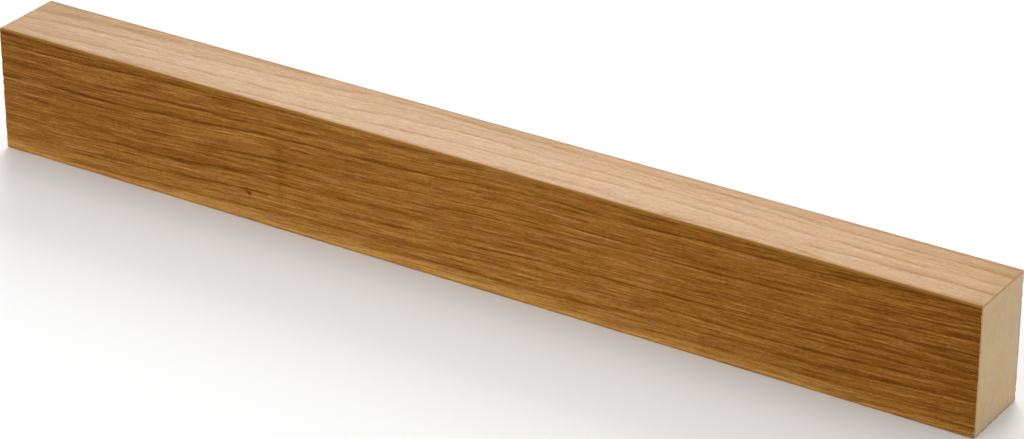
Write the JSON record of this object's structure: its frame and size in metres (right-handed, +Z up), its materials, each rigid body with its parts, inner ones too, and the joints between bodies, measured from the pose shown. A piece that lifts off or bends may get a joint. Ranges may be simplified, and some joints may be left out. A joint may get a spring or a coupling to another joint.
{
  "type": "veneered threshold strip",
  "caption": "Straight rectangular strip of wood board with an oak leaf on every long face, eased long edges and square sawn ends.",
  "frame": {"origin": "centre of the underside, on the surface that the strip stands on", "axes": "+X along the strip's length, +Y from the front face to the back face, +Z up"},
  "size_m": [0.371, 0.028, 0.045],
  "materials": {
    "board": "raw sawn fibreboard",
    "oak": "thin satin lacquer on straight-grained oak",
    "glue": "cured wood glue"
  },
  "bodies": {
    "root": {"mdf_core": "board", "front_glue_line": "glue", "back_glue_line": "glue", "top_glue_line": "glue", "bottom_glue_line": "glue", "front_veneer": "oak", "back_veneer": "oak", "top_veneer": "oak", "bottom_veneer": "oak"}
  },
  "joints": []
}
